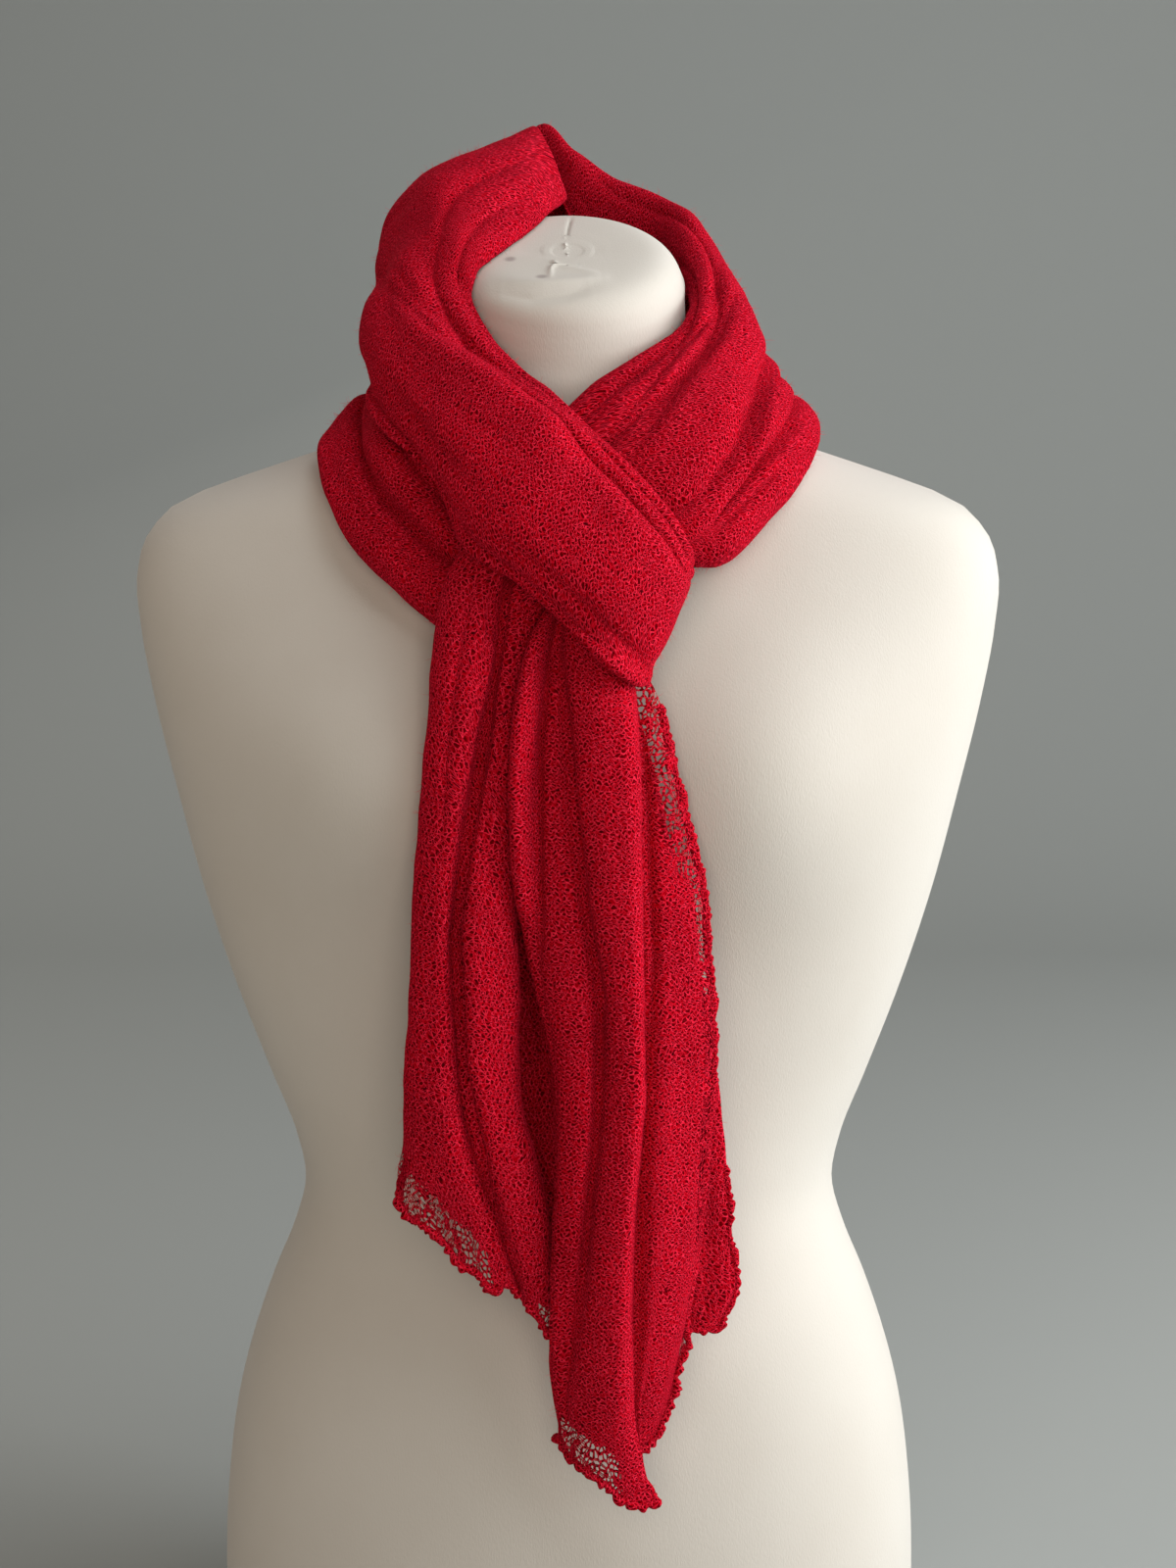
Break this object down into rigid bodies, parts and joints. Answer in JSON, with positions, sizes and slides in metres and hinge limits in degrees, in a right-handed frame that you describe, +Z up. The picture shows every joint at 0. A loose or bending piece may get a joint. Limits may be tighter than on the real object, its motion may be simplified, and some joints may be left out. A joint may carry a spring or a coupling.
{
  "type": "knitted alpaca shawl on a limbless dress form",
  "caption": "Long knitted shawl doubled and looped round the neck of a limbless dress form, with both tails drawn through the loop and hanging down the front.",
  "frame": {"origin": "middle of the dress form's flat underside", "axes": "+Z up, -Y towards the front of the form, +X towards the right of a viewer in front of it"},
  "size_m": [0.3864, 0.274, 0.7349],
  "materials": {
    "alpaca_knit": "soft red knit with a light halo",
    "form_jersey": "cream jersey, pulled tight"
  },
  "bodies": {
    "root": {"dress_form": "form_jersey", "loop_over": "alpaca_knit", "lower_turn": "alpaca_knit", "tail_left": "alpaca_knit", "tail_rear": "alpaca_knit", "tail_right": "alpaca_knit", "upper_turn": "alpaca_knit"}
  },
  "joints": []
}
